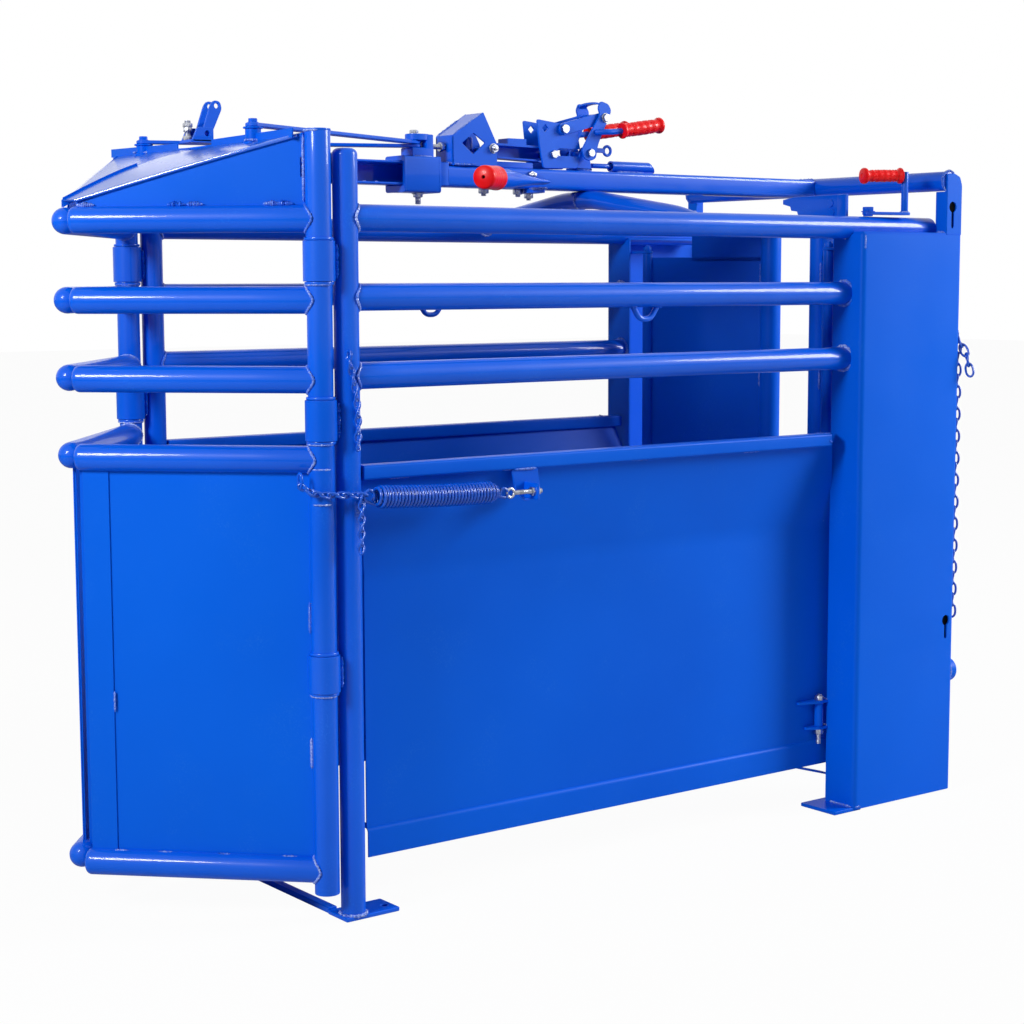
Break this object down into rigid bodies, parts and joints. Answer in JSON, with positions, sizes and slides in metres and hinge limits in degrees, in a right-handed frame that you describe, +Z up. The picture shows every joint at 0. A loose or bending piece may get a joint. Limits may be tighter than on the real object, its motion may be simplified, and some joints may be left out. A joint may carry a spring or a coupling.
{
  "type": "roping chute",
  "caption": "Free-standing steel roping chute with sprung double release doors, overhead trigger slide, bent side panels and a folding tail gate.",
  "frame": {"origin": "centre of the whole chute's box at floor level", "axes": "+Z up; the release doors face -Y and the tail gate +Y; the side with the gate crank is +X"},
  "size_m": [0.938, 2.0898, 1.6176],
  "materials": {
    "blue_paint": "saturated blue powder coat, medium gloss",
    "red_grip": "soft red vinyl grip",
    "bright_zinc": "bright zinc plated bolts and nuts"
  },
  "bodies": {
    "frame": {"near_frame_post": "blue_paint", "near_top_rail": "blue_paint", "near_second_rail": "blue_paint", "near_third_rail": "blue_paint", "near_side_panel": "blue_paint", "near_rear_housing": "blue_paint", "near_spring_bracket": "blue_paint", "near_spring": "blue_paint", "far_frame_post": "blue_paint", "far_top_rail": "blue_paint", "far_second_rail": "blue_paint", "far_third_rail": "blue_paint", "far_side_panel": "blue_paint", "far_rear_housing": "blue_paint", "far_spring_bracket": "blue_paint", "far_spring": "blue_paint", "front_header": "blue_paint", "front_strut": "blue_paint", "slide_rail": "blue_paint", "spine_tube": "blue_paint", "rear_crossbar": "blue_paint", "bow_tube": "blue_paint", "post_chain": "blue_paint", "rear_chain": "blue_paint", "catch_housing": "blue_paint", "handle_lug": "blue_paint", "guide_tube": "blue_paint", "latch_bracket": "blue_paint", "stepped_plate": "blue_paint"},
    "near_door": {"near_door_post": "blue_paint", "near_door_rail_1": "blue_paint", "near_door_rail_2": "blue_paint", "near_door_rail_3": "blue_paint", "near_door_panel": "blue_paint", "near_door_hood": "blue_paint"},
    "far_door": {"far_door_post": "blue_paint", "far_door_rail_1": "blue_paint", "far_door_rail_2": "blue_paint", "far_door_rail_3": "blue_paint", "far_door_panel": "blue_paint", "far_door_hood": "blue_paint"},
    "near_door_chain": {"near_chain": "blue_paint"},
    "far_door_chain": {"far_chain": "blue_paint"},
    "release_slide": {"slide_sleeve": "blue_paint"},
    "near_door_link": {"near_link": "blue_paint"},
    "far_door_link": {"far_link": "blue_paint"},
    "sear": {"sear_bar": "blue_paint", "cam_plates": "blue_paint"},
    "handle": {"handle_strap": "blue_paint", "near_grip": "red_grip", "far_grip": "red_grip"},
    "toggle": {"toggle_link": "blue_paint"},
    "lever": {"release_lever": "blue_paint", "lever_grip": "red_grip"},
    "nose_latch": {"nose_latch": "blue_paint"},
    "crank": {"crank_arm": "blue_paint", "crank_grip": "red_grip"},
    "near_gate": {"near_gate_leaf": "blue_paint"},
    "far_gate": {"far_gate_leaf": "blue_paint"}
  },
  "joints": [
    {"name": "near_door_swing", "type": "hinge", "parent": "frame", "child": "near_door", "pos_m": [0.389, -0.6967, 0.77], "axis": [0, 0, 1], "range_deg": [0, 90], "deforming": ["near_spring", "near_chain"]},
    {"name": "far_door_swing", "type": "hinge", "parent": "frame", "child": "far_door", "pos_m": [-0.389, -0.6967, 0.77], "axis": [0, 0, -1], "range_deg": [0, 90], "deforming": ["far_spring", "far_chain"]},
    {"name": "near_chain_turn", "type": "hinge", "parent": "near_door", "child": "near_door_chain", "pos_m": [0.396, -0.7567, 0.8655], "axis": [0, 0, -1], "range_deg": [0, 69]},
    {"name": "far_chain_turn", "type": "hinge", "parent": "far_door", "child": "far_door_chain", "pos_m": [-0.396, -0.7567, 0.8655], "axis": [0, 0, 1], "range_deg": [0, 69]},
    {"name": "release_slide_travel", "type": "slide", "parent": "frame", "child": "release_slide", "axis": [0, -1, 0], "range_m": [0, 0.276]},
    {"name": "near_link_turn", "type": "hinge", "parent": "release_slide", "child": "near_door_link", "pos_m": [0, -0.2157, 1.51], "axis": [0, 0, 1], "range_deg": [0, 26]},
    {"name": "far_link_turn", "type": "hinge", "parent": "release_slide", "child": "far_door_link", "pos_m": [0, -0.2157, 1.502], "axis": [0, 0, -1], "range_deg": [0, 26]},
    {"name": "handle_swing", "type": "hinge", "parent": "frame", "child": "handle", "pos_m": [0, 0.2353, 1.5015], "axis": [-1, 0, 0], "range_deg": [0, 30]},
    {"name": "sear_travel", "type": "slide", "parent": "frame", "child": "sear", "axis": [0, 1, 0], "range_m": [0, 0.0305]},
    {"name": "toggle_turn", "type": "hinge", "parent": "handle", "child": "toggle", "pos_m": [0, 0.2783, 1.581], "axis": [1, 0, 0], "range_deg": [0, 14.5]},
    {"name": "release_lever_swing", "type": "hinge", "parent": "frame", "child": "lever", "pos_m": [0, 0.0913, 1.4176], "axis": [0, 0, 1], "range_deg": [0, 25]},
    {"name": "nose_latch_tip", "type": "hinge", "parent": "frame", "child": "nose_latch", "pos_m": [0, -0.7227, 1.506], "axis": [-1, 0, 0], "range_deg": [0, 35], "stiffness_Nm_per_rad": 0.5},
    {"name": "gate_crank_swing", "type": "hinge", "parent": "frame", "child": "crank", "pos_m": [0.392, 0.7613, 1.367], "axis": [0, 0, -1], "range_deg": [0, 90]},
    {"name": "near_gate_swing", "type": "hinge", "parent": "frame", "child": "near_gate", "pos_m": [0.315, 0.7163, 0.75], "axis": [0, 0, -1], "range_deg": [0, 47]},
    {"name": "far_gate_swing", "type": "hinge", "parent": "frame", "child": "far_gate", "pos_m": [-0.315, 0.7163, 0.75], "axis": [0, 0, 1], "range_deg": [0, 47]}
  ],
  "couplings": [
    {"joint": "far_door_swing", "follows": "near_door_swing", "ratio": 1},
    {"joint": "near_chain_turn", "follows": "near_door_swing", "ratio": 0.7644},
    {"joint": "far_chain_turn", "follows": "near_door_swing", "ratio": 0.7644},
    {"joint": "release_slide_travel", "follows": "near_door_swing", "m_per_rad": 0.17562},
    {"joint": "near_link_turn", "follows": "near_door_swing", "ratio": 0.28695},
    {"joint": "far_link_turn", "follows": "near_door_swing", "ratio": 0.28695},
    {"joint": "sear_travel", "follows": "handle_swing", "m_per_rad": 0.057945},
    {"joint": "toggle_turn", "follows": "handle_swing", "ratio": 0.468},
    {"joint": "near_gate_swing", "follows": "gate_crank_swing", "ratio": 0.52222},
    {"joint": "far_gate_swing", "follows": "gate_crank_swing", "ratio": 0.52222}
  ]
}
